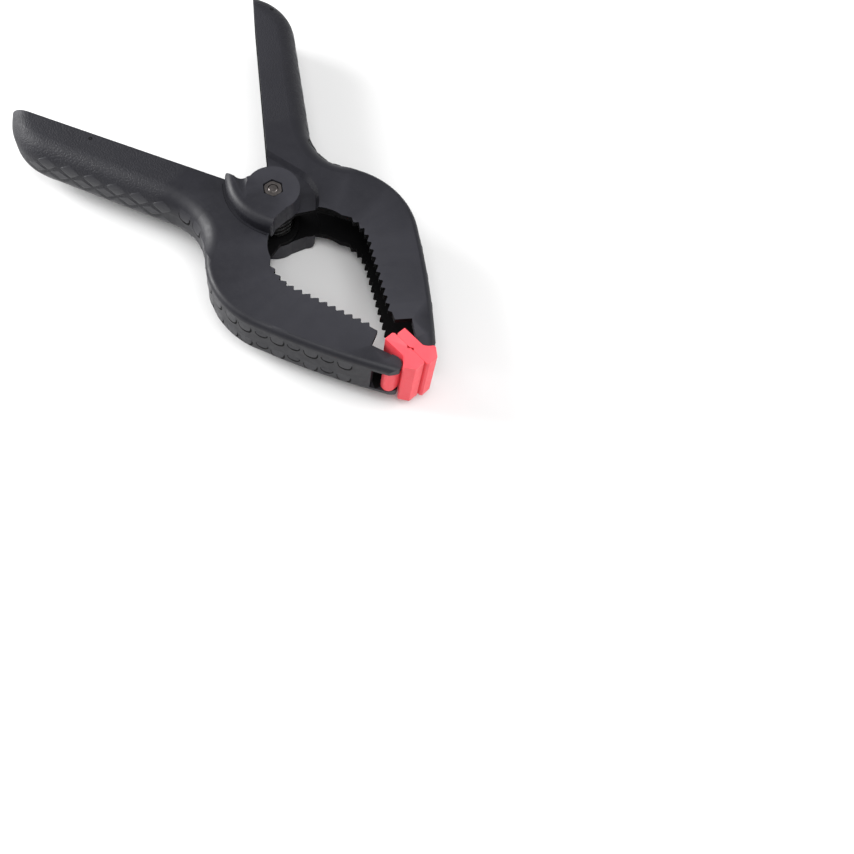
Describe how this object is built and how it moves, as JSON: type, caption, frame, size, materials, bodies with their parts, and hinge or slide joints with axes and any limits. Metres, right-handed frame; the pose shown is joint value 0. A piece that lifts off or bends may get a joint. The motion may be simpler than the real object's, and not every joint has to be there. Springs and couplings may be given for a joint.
{
  "type": "spring clamp",
  "caption": "Plastic spring clamp: hollow arms hinged on a bolt, torsion spring, toothed jaws and swivelling soft pads that hold work between them.",
  "frame": {"origin": "on the axis of the pivot bolt, in the plane of the rear cheek's outer face", "axes": "+X from the bolt to the jaws along the line where the closed pads meet, +Y towards the right arm, +Z along the bolt from its head to its nut"},
  "size_m": [0.2341, 0.1586, 0.0406],
  "materials": {
    "nylon": "charcoal glass-filled nylon, satin, with a fine pebbled grip on the handles",
    "pad_rubber": "coral red soft moulded plastic, matte",
    "steel": "plain steel, lightly oiled"
  },
  "bodies": {
    "right": {"right_arm": "nylon", "pivot_bolt": "steel", "spring_sleeve": "steel", "torsion_spring": "steel", "right_pad_pin": "steel"},
    "left": {"left_arm": "nylon", "pivot_nut": "steel", "left_pad_pin": "steel"},
    "right_pad": {"right_pad": "pad_rubber"},
    "left_pad": {"left_pad": "pad_rubber"}
  },
  "joints": [
    {"name": "jaw_hinge", "type": "hinge", "parent": "right", "child": "left", "pos_m": [0, 0, 0.0203], "axis": [0, 0, -1], "range_deg": [0, 50], "stiffness_Nm_per_rad": 2.4, "springref_deg": -74.48, "deforming": ["torsion_spring"]},
    {"name": "right_pad_swivel", "type": "hinge", "parent": "right", "child": "right_pad", "pos_m": [0.1045, 0.0106, 0.0203], "axis": [0, 0, 1], "range_deg": [-30, 0]},
    {"name": "left_pad_swivel", "type": "hinge", "parent": "left", "child": "left_pad", "pos_m": [0.1045, -0.0106, 0.0203], "axis": [0, 0, 1], "range_deg": [0, 20]}
  ],
  "couplings": [
    {"joint": "left_pad_swivel", "follows": "jaw_hinge", "ratio": 0.4},
    {"joint": "right_pad_swivel", "follows": "jaw_hinge", "ratio": -0.6}
  ]
}
